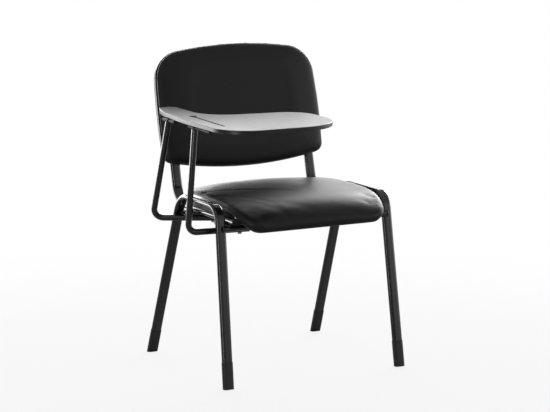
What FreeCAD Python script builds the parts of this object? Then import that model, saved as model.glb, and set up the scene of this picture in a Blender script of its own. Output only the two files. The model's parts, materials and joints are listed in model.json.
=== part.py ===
import FreeCAD, Part
import math
import os

# Stacking conference chair with a folding writing tablet, in millimetres.
# The sitter faces -Y and +Z is up. Left and right are the sitter's own, so the
# tablet stands on the right side, at -X. The pieces are laid out around the
# chair's middle plane x = 0 and then moved so that the origin is the middle of
# the bottom of the whole object.

# Oval frame tube
TUBE_WIDTH = 28.0
TUBE_DEPTH = 15.0
TUBE_WALL = 1.5

# Side frames: two legs and the rail between them, bent from one tube
RAIL_TOP = 461.0
RAIL_SEAT_GAP = 17.0
SIDE_TILT_DEG = 1.3
FRONT_FOOT_Y = -195.0
REAR_FOOT_Y = 255.0
FRONT_LEG_LEAN_DEG = 8.4
REAR_LEG_LEAN_DEG = 20.3
FRONT_BEND_RADIUS = 44.0
REAR_BEND_RADIUS = 62.0

# Foot caps pushed over the leg ends
CAP_LENGTH = 68.0
CAP_WALL = 1.0
CAP_BASE = 5.0

# Seat bearers, which run under the seat and rise as the back's uprights
BEARER_RAIL_GAP = 39.5
BEARER_TOP = 422.0
BEARER_FRONT_Y = -146.0
UPRIGHT_Y_AT_HEIGHT = 202.0
UPRIGHT_HEIGHT = 480.0
UPRIGHT_BEND_RADIUS = 60.0
UPRIGHT_REACH = 176.0
BACK_RECLINE_DEG = 14.5

# Plugs in the open front ends of the bearers
END_PLUG_FLANGE = 3.0
END_PLUG_STEM = 12.0

# Seat
SEAT_WIDTH = 450.0
SEAT_FRONT_Y = -217.0
SEAT_REAR_Y = 186.0
SEAT_THICKNESS = 44.0
PAN_FLOOR = 2.5
PAN_WALL = 2.5
PAN_BEARER_MARGIN = 10.5
PAN_FRONT_Y = -140.0
PAN_REAR_Y = 150.0
PAN_CORNER_RADIUS = 70.0
SEAT_BOARD_THICKNESS = 6.5
SEAT_BOARD_GAP = 0.5
CUSHION_GAP = 0.3

# Back pad, its board and the shell behind it
BACK_BEARER_MARGIN = 37.5
BACK_CORNER_HEIGHT = 525.0
BACK_CORNER_Y = 195.0
BACK_TOP_REACH = 304.0
BACK_SAG = 27.0
BACK_LOW_INSET = 3.0
BACK_TOP_INSET = 12.0
BACK_TOP_BOW = 26.0
BACK_BOTTOM_BOW = 26.0
BACK_TOP_CORNER_RADIUS = 78.0
BACK_LOW_CORNER_RADIUS = 26.0
BACK_PAD_DEPTH = 25.0
BACK_BOARD_THICKNESS = 6.0
BACK_BOARD_SCALE_SHARE = 0.955
SHELL_WALL = 2.5
SHELL_RIM_GAP = 1.5
SHELL_DEPTH = 25.0
SHELL_TUBE_CLEARANCE = 1.0

# Tablet
TABLET_TOP = 678.0
TABLET_THICKNESS = 11.0
TABLET_RAIL_MARGIN = 85.0
TABLET_WIDTH = 341.0
TABLET_FRONT_Y = -351.0
TABLET_LENGTH = 492.0
EDGE_BAND = 2.0
EDGE_ROUND = 1.6
GROOVE_WIDTH = 7.0
GROOVE_DEPTH = 3.0
DIMPLE_DIAMETER = 17.0
DIMPLE_DEPTH = 4.5

# Two round tubes that carry the tablet
ARM_DIAMETER = 16.0
ARM_WALL = 1.5
ARM_BEND_RADIUS = 24.0
ARM_INSET = 17.0
ARM_TOP_DROP = 5.5
FRONT_ARM_FOOT_Y = -86.0
FRONT_ARM_TOP_Y = -128.0
FRONT_ARM_RUN_Z = 388.0
FRONT_ARM_RUN_SLOPE = -0.12
REAR_ARM_FOOT_Y = 121.0
REAR_ARM_TOP_Y = 21.0
REAR_ARM_RUN_Z = 393.0
REAR_ARM_RUN_SLOPE = -0.545
ARM_RUN_END_INSET = 54.5
ARM_PLUG_FLANGE = 1.5
ARM_PLUG_STEM = 2.0

# Lugs under the right bearer, with the bolts that hold the arms to them
LUG_THICKNESS = 4.0
LUG_WIDTH = 24.0
LUG_REACH = 9.0
OUTER_BOLT_OUTSET = 24.5
INNER_BOLT_INSET = 30.5
BOLT_DIAMETER = 6.0
BOLT_HOLE_CLEARANCE = 0.2
BOLT_HEAD_DIAMETER = 11.0
BOLT_HEAD_HEIGHT = 3.6
BOLT_TAIL = 1.2
NUT_FLATS = 10.0
NUT_HEIGHT = 5.0
SPACER_DIAMETER = 12.0

# Hinge of the tablet: a sleeve welded to each arm's top, a pin that runs forward
# from it, and a leaf under the tablet whose barrel turns on the pin
PIN_DIAMETER = 5.0
PIN_DROP = 4.6
PIN_HEAD_DIAMETER = 8.0
PIN_HEAD_HEIGHT = 2.5
PIN_TAIL = 1.5
SLEEVE_DIAMETER = 8.6
SLEEVE_LENGTH = 30.0
BARREL_CLEARANCE = 0.3
FRONT_BARREL_GAP = 41.0
FRONT_BARREL_LENGTH = 44.0
FRONT_LEAF_LENGTH = 106.0
REAR_BARREL_GAP = 9.0
REAR_BARREL_LENGTH = 26.0
REAR_LEAF_LENGTH = 42.0
LEAF_WIDTH = 30.0
LEAF_THICKNESS = 2.5
LEAF_CORNER_RADIUS = 5.0
LEAF_SCREW_INSET = 18.0
LEAF_SCREW_END = 9.0
FRONT_LEAF_SCREW_COUNT = 3
REAR_LEAF_SCREW_COUNT = 2
LEAF_SCREW_DIAMETER = 4.0
LEAF_SCREW_HEAD = 8.0
LEAF_SCREW_HEAD_HEIGHT = 2.0
LEAF_SCREW_BITE = 7.5

# Rest welded on the front arm, which carries the tablet when it is down
REST_LENGTH = 92.0
REST_WIDTH = 26.0
REST_PLATE = 3.0
REST_WEB_DEPTH = 8.0
REST_CORNER_RADIUS = 8.0
BUFFER_DIAMETER = 14.0
BUFFER_GAP = 0.3
BUFFER_NEAR = 34.0
BUFFER_FAR = 78.0

# Screws of the seat and of the back
SEAT_SCREW_DIAMETER = 6.0
SEAT_SCREW_HEAD = 12.0
SEAT_SCREW_HEAD_HEIGHT = 3.2
SEAT_SCREW_FRONT_Y = -60.0
SEAT_SCREW_REAR_GAP = 2.5
TEE_NUT_FLANGE = 14.0
TEE_NUT_FLANGE_HEIGHT = 1.2
TEE_NUT_BARREL = 8.0
TEE_NUT_BARREL_HEIGHT = 5.0
BACK_SCREW_DIAMETER = 4.5
BACK_SCREW_HEAD = 10.0
BACK_SCREW_HEAD_HEIGHT = 2.4
BACK_SCREW_LOW = 38.0
BACK_SCREW_HIGH = 140.0
BACK_SCREW_BITE = 4.5
SCREW_HOLE_CLEARANCE = 0.2

# One length that every cutting body may run past the piece that it cuts
OVERRUN = 20.0

# Cross-sections of the seat cushion from the rear to the front. Each row holds
# the place along the depth, the half width, the half width of the underside,
# and the heights of the underside, of the widest line and of the crown, as
# shares of depth, half width and thickness, with heights counted from the top
# of the seat board.
SEAT_SECTION_SHARES = (
    (1.000, 0.52, 0.42, 0.20, 0.30, 0.42),
    (0.985, 0.65, 0.56, 0.09, 0.32, 0.55),
    (0.935, 0.79, 0.72, 0.02, 0.37, 0.68),
    (0.836, 0.92, 0.86, 0.00, 0.42, 0.81),
    (0.687, 0.985, 0.94, 0.00, 0.47, 0.92),
    (0.489, 1.000, 0.95, 0.00, 0.49, 0.97),
    (0.315, 0.995, 0.94, 0.00, 0.41, 0.92),
    (0.178, 0.978, 0.90, -0.04, 0.20, 0.72),
    (0.104, 0.947, 0.82, -0.61, -0.02, 0.48),
    (0.042, 0.889, 0.76, -0.88, -0.22, 0.14),
    (0.010, 0.818, 0.69, -0.80, -0.39, -0.14),
    (0.000, 0.733, 0.62, -0.66, -0.48, -0.32),
)
SEAT_SHOULDER_INSET_SHARE = 0.075
SEAT_SHOULDER_RISE_SHARE = 0.52
SEAT_ROUND_SHARE = 0.72

# Outlines of the back pad through its depth, and of the shell behind it, as
# shares of the depth and of the full outline
BACK_PAD_SECTION_SHARES = (
    (0.00, 0.978), (0.12, 0.994), (0.26, 1.000), (0.46, 0.990),
    (0.64, 0.962), (0.79, 0.905), (0.91, 0.800), (1.00, 0.600),
)
SHELL_SECTION_SHARES = (
    (0.00, 1.000), (0.45, 0.996), (0.76, 0.978), (0.92, 0.944), (1.00, 0.880),
)

# Corners of the tablet, anticlockwise from the outer front one: across the
# width from the outer edge, along the length from the front, and the corner's
# radius as a share of the length
TABLET_CORNER_SHARES = (
    (0.000, 0.000, 0.185),
    (0.982, 0.000, 0.262),
    (1.000, 0.523, 0.153),
    (0.243, 0.586, 0.190),
    (0.264, 1.000, 0.036),
    (0.135, 1.000, 0.057),
    (0.057, 0.864, 0.611),
    (0.000, 0.510, 3.050),
)
GROOVE_START_SHARES = (0.140, 0.600)
GROOVE_END_SHARES = (0.112, 0.210)

V = FreeCAD.Vector
X_AXIS = V(1, 0, 0)
Y_AXIS = V(0, 1, 0)
Z_AXIS = V(0, 0, 1)
RIGHT = -1
LEFT = 1
SIDE_NAMES = {RIGHT: "right", LEFT: "left"}
LOFT_DEGREE = 3
HEX_CORNERS = 6

# Values that follow from the sizes above: the seat's width sets the frame's, and
# the frame's sets the width of the pan and the back and the tablet's place
RAIL_HALF_TRACK = SEAT_WIDTH / 2 + RAIL_SEAT_GAP
BEARER_HALF_TRACK = RAIL_HALF_TRACK - BEARER_RAIL_GAP
PAN_HALF_WIDTH = BEARER_HALF_TRACK + PAN_BEARER_MARGIN
BACK_HALF_WIDTH = BEARER_HALF_TRACK + BACK_BEARER_MARGIN
TABLET_OUTER_X = -(RAIL_HALF_TRACK + TABLET_RAIL_MARGIN)
ARM_RUN_END_X = -(BEARER_HALF_TRACK - ARM_RUN_END_INSET)
OUTER_BOLT_X = -(BEARER_HALF_TRACK + OUTER_BOLT_OUTSET)
INNER_BOLT_X = -(BEARER_HALF_TRACK - INNER_BOLT_INSET)
RAIL_Z = RAIL_TOP - TUBE_DEPTH / 2
BEARER_Z = BEARER_TOP - TUBE_DEPTH / 2
BEARER_BOTTOM = BEARER_TOP - TUBE_DEPTH
CROSSBAR_Z = BEARER_BOTTOM - TUBE_DEPTH / 2
SEAT_BOARD_BOTTOM = BEARER_TOP + PAN_FLOOR
SEAT_BASE_Z = SEAT_BOARD_BOTTOM + SEAT_BOARD_THICKNESS
SEAT_DEPTH = SEAT_REAR_Y - SEAT_FRONT_Y
TABLET_BOTTOM = TABLET_TOP - TABLET_THICKNESS
ARM_X = TABLET_OUTER_X + ARM_INSET
ARM_TOP_Z = TABLET_BOTTOM - ARM_TOP_DROP
PIN_X = ARM_X - ARM_DIAMETER / 2
PIN_Z = TABLET_BOTTOM - PIN_DROP
LUG_BOTTOM = BEARER_BOTTOM - LUG_THICKNESS
RECLINE = math.radians(BACK_RECLINE_DEG)
BACK_UP = V(0, math.sin(RECLINE), math.cos(RECLINE))
BACK_FORWARD = V(0, -math.cos(RECLINE), math.sin(RECLINE))
BACK_ORIGIN = V(0, BACK_CORNER_Y, BACK_CORNER_HEIGHT)
REST_TOP = ARM_TOP_Z + REST_PLATE


def back_point(x, up, forward):
    """Point of the reclined back: across, up along it, and out of its face."""
    return BACK_ORIGIN + X_AXIS * x + BACK_UP * up + BACK_FORWARD * forward


def box_between(low, high):
    """Box with two opposite corners."""
    size = high - low
    return Part.makeBox(size.x, size.y, size.z, low)


def cylinder_between(start, end, diameter):
    """Solid cylinder from one point to another."""
    axis = end - start
    return Part.makeCylinder(diameter / 2, axis.Length, start, axis)


def hex_prism(base, flats, height):
    """Upright hexagonal prism that stands on the point base."""
    step = 2 * math.pi / HEX_CORNERS
    radius = flats / 2 / math.cos(step / 2)
    corners = [
        base + V(math.cos(k * step), math.sin(k * step), 0) * radius
        for k in range(HEX_CORNERS)
    ]
    outline = Part.makePolygon(corners + corners[:1])
    return Part.Face(outline).extrude(Z_AXIS * height)


def corner_arc(before, corner, after, radius):
    """Start, middle and end of the tangent arc that rounds a corner."""
    back = (before - corner).normalize()
    ahead = (after - corner).normalize()
    half = back.getAngle(ahead) / 2
    inward = (back + ahead).normalize()
    reach = radius / math.tan(half)
    centre = corner + inward * (radius / math.sin(half))
    return corner + back * reach, centre - inward * radius, corner + ahead * reach


def rounded_route(points, radius):
    """Open wire of straight runs joined by tangent arcs."""
    edges = []
    start = points[0]
    for before, corner, after in zip(points, points[1:], points[2:]):
        first, middle, last = corner_arc(before, corner, after, radius)
        edges.append(Part.LineSegment(start, first).toShape())
        edges.append(Part.Arc(first, middle, last).toShape())
        start = last
    edges.append(Part.LineSegment(start, points[-1]).toShape())
    return Part.Wire(edges)


def rounded_polygon(corners, radii):
    """Closed wire of straight sides joined by tangent arcs."""
    arcs = [
        corner_arc(corners[k - 1], corners[k], corners[(k + 1) % len(corners)], radii[k])
        for k in range(len(corners))
    ]
    edges = []
    for k, (first, middle, last) in enumerate(arcs):
        edges.append(Part.LineSegment(arcs[k - 1][2], first).toShape())
        edges.append(Part.Arc(first, middle, last).toShape())
    return Part.Wire(edges)


def oval_wire(width, depth, centre, across, along):
    """Flat oval, straight on its wide sides and round at its ends."""
    side = along.cross(across).normalize()
    half_flat = (width - depth) / 2
    half = depth / 2
    right = centre + across * half_flat
    left = centre - across * half_flat
    return Part.Wire([
        Part.LineSegment(left - side * half, right - side * half).toShape(),
        Part.Arc(right - side * half, right + across * half, right + side * half).toShape(),
        Part.LineSegment(right + side * half, left + side * half).toShape(),
        Part.Arc(left + side * half, left - across * half, left - side * half).toShape(),
    ])


def swept(route, section):
    """Solid that a closed section sweeps along a route."""
    return route.makePipeShell([section], True, False)


def oval_bar(points, radius, across, width=TUBE_WIDTH, depth=TUBE_DEPTH):
    """Solid bar of flat oval section along a bent route."""
    along = (points[1] - points[0]).normalize()
    section = oval_wire(width, depth, points[0], across, along)
    return swept(rounded_route(points, radius), section)


def oval_bore(points, radius, across):
    """Inside of the oval tube along a bent route."""
    return oval_bar(
        points, radius, across, TUBE_WIDTH - 2 * TUBE_WALL, TUBE_DEPTH - 2 * TUBE_WALL
    )


def round_bar(points, radius, diameter):
    """Solid round bar along a bent route."""
    along = points[1] - points[0]
    circle = Part.Circle(points[0], along, diameter / 2).toShape()
    return swept(rounded_route(points, radius), Part.Wire([circle]))


def largest(shape):
    """Largest solid of what a cut leaves."""
    return max(shape.Solids, key=lambda piece: piece.Volume)


def smooth_loft(sections):
    """Solid through closed sections, with a gentle curve from one to the next."""
    return Part.makeLoft(sections, True, False, False, LOFT_DEGREE)


def half_track(side, height):
    """Middle of the side frame's tube at a height, from the chair's middle plane."""
    splay = (RAIL_Z - height) * math.tan(math.radians(SIDE_TILT_DEG))
    return side * (RAIL_HALF_TRACK + splay)


def leg_y(foot_y, lean_deg, direction, height):
    """Place of a leg's middle at a height, going towards the rail."""
    return foot_y + direction * height * math.tan(math.radians(lean_deg))


def front_leg_y(height):
    """Place of the front leg's middle at a height."""
    return leg_y(FRONT_FOOT_Y, FRONT_LEG_LEAN_DEG, 1, height)


def rear_leg_y(height):
    """Place of the rear leg's middle at a height."""
    return leg_y(REAR_FOOT_Y, REAR_LEG_LEAN_DEG, -1, height)


def side_point(side, y, height):
    """Point on the middle plane of a side frame."""
    return V(half_track(side, height), y, height)


def side_across(side):
    """Direction of the wide way of the side frame's tube."""
    tilt = math.radians(SIDE_TILT_DEG) * side
    return V(math.cos(tilt), 0, math.sin(tilt))


def side_bars(side):
    """Solid side frame and its bore, one bend at each end of the rail."""
    points = [
        side_point(side, front_leg_y(CAP_BASE), CAP_BASE),
        side_point(side, front_leg_y(RAIL_Z), RAIL_Z),
        side_point(side, rear_leg_y(RAIL_Z), RAIL_Z),
        side_point(side, rear_leg_y(CAP_BASE), CAP_BASE),
    ]
    across = side_across(side)
    solids = []
    for shrink in (0, 2 * TUBE_WALL):
        width, depth = TUBE_WIDTH - shrink, TUBE_DEPTH - shrink
        front = oval_bar(
            [points[0], points[1], (points[1] + points[2]) / 2],
            FRONT_BEND_RADIUS, across, width, depth,
        )
        rear = oval_bar(
            [points[3], points[2], (points[1] + points[2]) / 2],
            REAR_BEND_RADIUS, across, width, depth,
        )
        solids.append(front.fuse(rear).removeSplitter())
    return solids


def foot_cap(side, leg_place):
    """Cap over a leg's end, cut level where it stands on the floor."""
    low = side_point(side, leg_place(0), 0)
    high = side_point(side, leg_place(RAIL_Z), RAIL_Z)
    along = (high - low).normalize()
    across = side_across(side)
    sleeve = oval_bar(
        [low - along * OVERRUN, low + along * CAP_LENGTH], 0, across,
        TUBE_WIDTH + 2 * CAP_WALL, TUBE_DEPTH + 2 * CAP_WALL,
    )
    tube_end = side_point(side, leg_place(CAP_BASE), CAP_BASE)
    socket = oval_bar([tube_end, low + along * (CAP_LENGTH + OVERRUN)], 0, across)
    below = box_between(
        low + V(-TUBE_WIDTH, -TUBE_WIDTH, -2 * OVERRUN), low + V(TUBE_WIDTH, TUBE_WIDTH, 0)
    )
    return sleeve.cut(socket).cut(below)


def bearer_points(side):
    """Route of a bearer: forward end, rear corner, top of the upright."""
    x = side * BEARER_HALF_TRACK
    rise = BEARER_Z - UPRIGHT_HEIGHT
    corner = V(x, UPRIGHT_Y_AT_HEIGHT + rise * math.tan(RECLINE), BEARER_Z)
    start = V(x, BEARER_FRONT_Y, BEARER_Z)
    length = (BACK_CORNER_HEIGHT - BEARER_Z) / math.cos(RECLINE) + UPRIGHT_REACH
    return [start, corner, corner + BACK_UP * length]


def bearer_plug(side):
    """Plug in the open front end of a bearer."""
    start = bearer_points(side)[0]
    flange = oval_bar([start, start - Y_AXIS * END_PLUG_FLANGE], 0, X_AXIS)
    stem = oval_bore([start, start + Y_AXIS * END_PLUG_STEM], 0, X_AXIS)
    return flange.fuse(stem).removeSplitter()


def crossbar(leg_place, side_solids):
    """Tube between the side frames, coped where it meets the two legs."""
    y = leg_place(CROSSBAR_Z)
    ends = [V(half_track(side, CROSSBAR_Z), y, CROSSBAR_Z) for side in (RIGHT, LEFT)]
    return largest(oval_bar(ends, 0, Y_AXIS).cut([oval_bore(ends, 0, Y_AXIS)] + side_solids))


def bulged(inner, outer):
    """Middle of the arc between a point of the cushion's side and its widest point."""
    x = inner.x + (outer.x - inner.x) * SEAT_ROUND_SHARE
    return V(x, inner.y, (inner.z + outer.z) / 2)


def seat_section(shares):
    """Closed section of the seat cushion across the seat."""
    depth_share, width_share, under_width_share = shares[:3]
    y = SEAT_FRONT_Y + depth_share * SEAT_DEPTH
    half_seat = SEAT_WIDTH / 2
    under, waist, crown = [SEAT_BASE_Z + share * SEAT_THICKNESS for share in shares[3:]]
    shoulder = waist + (crown - waist) * SEAT_SHOULDER_RISE_SHARE
    sides = []
    for side in (LEFT, RIGHT):
        low = V(side * under_width_share * half_seat, y, under)
        wide = V(side * width_share * half_seat, y, waist)
        high = V(
            side * (width_share - SEAT_SHOULDER_INSET_SHARE) * half_seat, y, shoulder
        )
        sides.append([low, bulged(low, wide), wide, bulged(high, wide), high])
    left, right = sides
    return Part.Wire([
        Part.LineSegment(right[0], left[0]).toShape(),
        Part.Arc(*left[:3]).toShape(),
        Part.Arc(*left[2:]).toShape(),
        Part.Arc(left[-1], V(0, y, crown), right[-1]).toShape(),
        Part.Arc(*right[:1:-1]).toShape(),
        Part.Arc(*right[2::-1]).toShape(),
    ])


def rounded_plate(half_width, front_y, rear_y, radius, bottom, height):
    """Flat plate with four round corners."""
    corners = [
        V(-half_width, front_y, bottom), V(half_width, front_y, bottom),
        V(half_width, rear_y, bottom), V(-half_width, rear_y, bottom),
    ]
    wire = rounded_polygon(corners, [radius] * len(corners))
    return Part.Face(wire).extrude(Z_AXIS * height)


def build_seat():
    """Cushion, board and pan of the seat."""
    pan_height = PAN_FLOOR + SEAT_BOARD_THICKNESS
    tray = rounded_plate(
        PAN_HALF_WIDTH, PAN_FRONT_Y, PAN_REAR_Y, PAN_CORNER_RADIUS, BEARER_TOP, pan_height
    )
    inner = (
        PAN_HALF_WIDTH - PAN_WALL, PAN_FRONT_Y + PAN_WALL, PAN_REAR_Y - PAN_WALL,
        PAN_CORNER_RADIUS - PAN_WALL,
    )
    room = rounded_plate(*inner, SEAT_BOARD_BOTTOM, pan_height)
    board = rounded_plate(
        inner[0] - SEAT_BOARD_GAP, inner[1] + SEAT_BOARD_GAP, inner[2] - SEAT_BOARD_GAP,
        inner[3] - SEAT_BOARD_GAP, SEAT_BOARD_BOTTOM, SEAT_BOARD_THICKNESS,
    )
    cushion = smooth_loft([seat_section(row) for row in SEAT_SECTION_SHARES])
    floor = rounded_plate(
        PAN_HALF_WIDTH, PAN_FRONT_Y, PAN_REAR_Y, PAN_CORNER_RADIUS, BEARER_TOP,
        pan_height + CUSHION_GAP,
    )
    return cushion.cut(floor), board, tray.cut(room)


def circle_through(low, middle, high):
    """Centre and radius of the circle through three points."""
    circle = Part.Arc(low, middle, high).toShape().Curve
    return circle.Center, circle.Radius


def tangent_corner(first, second, radius, near):
    """Centre of the arc that rounds two circles' meeting from inside, near a point."""
    (c1, r1), (c2, r2) = first, second
    d1, d2 = r1 - radius, r2 - radius
    line = c2 - c1
    span = line.Length
    along = (d1 * d1 - d2 * d2 + span * span) / (2 * span)
    rise = math.sqrt(d1 * d1 - along * along)
    unit = line.normalize()
    base = c1 + unit * along
    normal = V(-unit.y, unit.x, 0)
    choices = [base + normal * rise, base - normal * rise]
    return min(choices, key=lambda point: (point - near).Length)


def back_outline():
    """Outline of the back in its own plane, four long arcs and four round corners."""
    half = BACK_HALF_WIDTH
    top_end = BACK_TOP_REACH - BACK_TOP_BOW
    low_end = BACK_BOTTOM_BOW - BACK_SAG
    middle = (BACK_TOP_REACH - BACK_SAG) / 2
    bottom = circle_through(V(-half, low_end, 0), V(0, -BACK_SAG, 0), V(half, low_end, 0))
    top = circle_through(V(half, top_end, 0), V(0, BACK_TOP_REACH, 0), V(-half, top_end, 0))
    sides = {}
    for side in (RIGHT, LEFT):
        sides[side] = circle_through(
            V(side * (half - BACK_LOW_INSET), 0, 0), V(side * half, middle, 0),
            V(side * (half - BACK_TOP_INSET), BACK_TOP_REACH, 0),
        )
    corners = (
        (bottom, sides[LEFT], BACK_LOW_CORNER_RADIUS, V(half, 0, 0)),
        (sides[LEFT], top, BACK_TOP_CORNER_RADIUS, V(half, BACK_TOP_REACH, 0)),
        (top, sides[RIGHT], BACK_TOP_CORNER_RADIUS, V(-half, BACK_TOP_REACH, 0)),
        (sides[RIGHT], bottom, BACK_LOW_CORNER_RADIUS, V(-half, 0, 0)),
    )
    arcs = []
    for first, second, radius, near in corners:
        centre = tangent_corner(first, second, radius, near)
        start = centre + (centre - first[0]).normalize() * radius
        end = centre + (centre - second[0]).normalize() * radius
        outward = (start + end - centre * 2).normalize()
        arcs.append((start, centre + outward * radius, end, second))
    edges = []
    for k, (start, via, end, circle) in enumerate(arcs):
        edges.append(Part.Arc(start, via, end).toShape())
        following = arcs[(k + 1) % len(arcs)][0]
        outward = (end + following - circle[0] * 2).normalize()
        edges.append(Part.Arc(end, circle[0] + outward * circle[1], following).toShape())
    return Part.Wire(edges)


def back_section(scale, forward):
    """Outline of the back, scaled about its middle and set at its depth."""
    outline = back_outline()
    middle = V(0, (BACK_TOP_REACH - BACK_SAG) / 2, 0)
    outline.scale(scale, middle)
    place = FreeCAD.Matrix(
        1, 0, 0, 0,
        0, BACK_UP.y, BACK_FORWARD.y, 0,
        0, BACK_UP.z, BACK_FORWARD.z, 0,
        0, 0, 0, 1,
    )
    outline.transformShape(place)
    outline.translate(back_point(0, 0, forward))
    return outline


def back_loft(sections):
    """Solid through outlines of the back, each a scale and a depth."""
    return smooth_loft([back_section(scale, forward) for scale, forward in sections])


def board_rear_depth():
    """Depth of the back board's rear face, on the front of the two uprights."""
    corner = bearer_points(LEFT)[1]
    return (corner - BACK_ORIGIN).dot(BACK_FORWARD) + TUBE_DEPTH / 2


def shell_rim_depth():
    """Depth of the shell's front rim, a little behind the pad."""
    return board_rear_depth() + BACK_BOARD_THICKNESS - SHELL_RIM_GAP


def build_back():
    """Pad, board and shell of the back, with room for the two uprights."""
    board_rear = board_rear_depth()
    pad_rear = board_rear + BACK_BOARD_THICKNESS
    pad = back_loft([
        (scale, pad_rear + share * BACK_PAD_DEPTH) for share, scale in BACK_PAD_SECTION_SHARES
    ])
    board = back_loft([
        (BACK_BOARD_SCALE_SHARE, board_rear), (BACK_BOARD_SCALE_SHARE, pad_rear)
    ])
    rim = shell_rim_depth()
    shell = back_loft([
        (scale, rim - share * SHELL_DEPTH) for share, scale in SHELL_SECTION_SHARES
    ])
    shrink = 1 - SHELL_WALL / BACK_HALF_WIDTH
    cavity_depth = SHELL_DEPTH - SHELL_WALL
    cavity = back_loft([
        (scale * shrink, rim - share * cavity_depth) for share, scale in SHELL_SECTION_SHARES
    ])
    slots = [
        oval_bar(
            bearer_points(side)[1:], 0, X_AXIS,
            TUBE_WIDTH + 2 * SHELL_TUBE_CLEARANCE, TUBE_DEPTH + 2 * SHELL_TUBE_CLEARANCE,
        )
        for side in (RIGHT, LEFT)
    ]
    return pad, board, largest(shell.cut([cavity] + slots))


def tablet_place(width_share, length_share, height):
    """Point over the tablet's plan."""
    x = TABLET_OUTER_X + width_share * TABLET_WIDTH
    y = TABLET_FRONT_Y + length_share * TABLET_LENGTH
    return V(x, y, height)


def build_tablet():
    """Writing board with its pen groove, and the band round its edge."""
    corners = [tablet_place(a, b, TABLET_BOTTOM) for a, b, _ in TABLET_CORNER_SHARES]
    radii = [radius * TABLET_LENGTH for _, _, radius in TABLET_CORNER_SHARES]
    face = Part.Face(rounded_polygon(corners, radii))
    whole = face.extrude(Z_AXIS * TABLET_THICKNESS)
    core = face.makeOffset2D(-EDGE_BAND).extrude(Z_AXIS * TABLET_THICKNESS)
    levels = (TABLET_BOTTOM, TABLET_TOP)
    rims = [
        edge for edge in whole.Edges
        if min(abs(edge.BoundBox.ZMin - level) + abs(edge.BoundBox.ZMax - level)
               for level in levels) < EDGE_ROUND / 2
    ]
    band = whole.makeFillet(EDGE_ROUND, rims).cut(core)
    start = tablet_place(*GROOVE_START_SHARES, TABLET_TOP - GROOVE_DEPTH)
    end = tablet_place(*GROOVE_END_SHARES, TABLET_TOP - GROOVE_DEPTH)
    along = (end - start).normalize()
    across = Z_AXIS.cross(along) * (GROOVE_WIDTH / 2)
    slot = Part.Face(Part.makePolygon([
        start - across, end - across, end + across, start + across, start - across,
    ])).extrude(Z_AXIS * OVERRUN)
    tip = Part.makeCylinder(GROOVE_WIDTH / 2, OVERRUN, end, Z_AXIS)
    dimple = Part.makeCylinder(
        DIMPLE_DIAMETER / 2, OVERRUN, V(start.x, start.y, TABLET_TOP - DIMPLE_DEPTH), Z_AXIS
    )
    return core.cut(slot).cut(tip).cut(dimple), band


def arm_points(foot_y, top_y, run_z, slope):
    """Route of an arm from its inner end to its top."""
    foot = V(ARM_X, foot_y, run_z)
    inner = V(ARM_RUN_END_X, foot_y + slope * (ARM_RUN_END_X - ARM_X), run_z)
    top = V(ARM_X, top_y, ARM_TOP_Z)
    return [inner, foot, top]


FRONT_ARM = arm_points(
    FRONT_ARM_FOOT_Y, FRONT_ARM_TOP_Y, FRONT_ARM_RUN_Z, FRONT_ARM_RUN_SLOPE
)
REAR_ARM = arm_points(REAR_ARM_FOOT_Y, REAR_ARM_TOP_Y, REAR_ARM_RUN_Z, REAR_ARM_RUN_SLOPE)
ARMS = {"front": FRONT_ARM, "rear": REAR_ARM}


def barrel_span(name):
    """Rear and front end of a hinge's barrel along the pin."""
    gap = FRONT_BARREL_GAP if name == "front" else REAR_BARREL_GAP
    length = FRONT_BARREL_LENGTH if name == "front" else REAR_BARREL_LENGTH
    rear = ARMS[name][-1].y - SLEEVE_LENGTH / 2 - gap
    return rear, rear - length


def leaf_front(name):
    """Front end of a hinge's leaf under the tablet."""
    length = FRONT_LEAF_LENGTH if name == "front" else REAR_LEAF_LENGTH
    return barrel_span(name)[0] - length


def arm_bar(points, diameter):
    """Round bar along an arm's route, cut level at its top."""
    inner, foot, top = points
    beyond = top + (top - foot).normalize() * OVERRUN
    bar = round_bar([inner, foot, beyond], ARM_BEND_RADIUS, diameter)
    reach = V(OVERRUN, OVERRUN, 0)
    above = box_between(top - reach, top + reach + Z_AXIS * (2 * OVERRUN))
    return bar.cut(above)


def bolt_place(points, x):
    """Point on an arm's run at a bolt's distance from the middle plane."""
    inner, foot, _ = points
    share = (x - inner.x) / (foot.x - inner.x)
    return inner + (foot - inner) * share


def end_plug(end, inward):
    """Plug in an open end of an arm."""
    bore = ARM_DIAMETER - 2 * ARM_WALL
    flange = cylinder_between(end - inward * ARM_PLUG_FLANGE, end, ARM_DIAMETER)
    stem = cylinder_between(end, end + inward * ARM_PLUG_STEM, bore)
    return flange.fuse(stem).removeSplitter()


def lug(points):
    """Plate welded under the bearer, in line with an arm's run."""
    outer = bolt_place(points, OUTER_BOLT_X)
    inner = bolt_place(points, INNER_BOLT_X)
    along = (inner - outer).normalize()
    across = Z_AXIS.cross(along) * (LUG_WIDTH / 2)
    drop = Z_AXIS * (LUG_BOTTOM - outer.z)
    start = outer - along * LUG_REACH + drop
    end = inner + along * LUG_REACH + drop
    outline = Part.makePolygon([
        start - across, end - across, end + across, start + across, start - across,
    ])
    return Part.Face(outline).extrude(Z_AXIS * LUG_THICKNESS)


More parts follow.
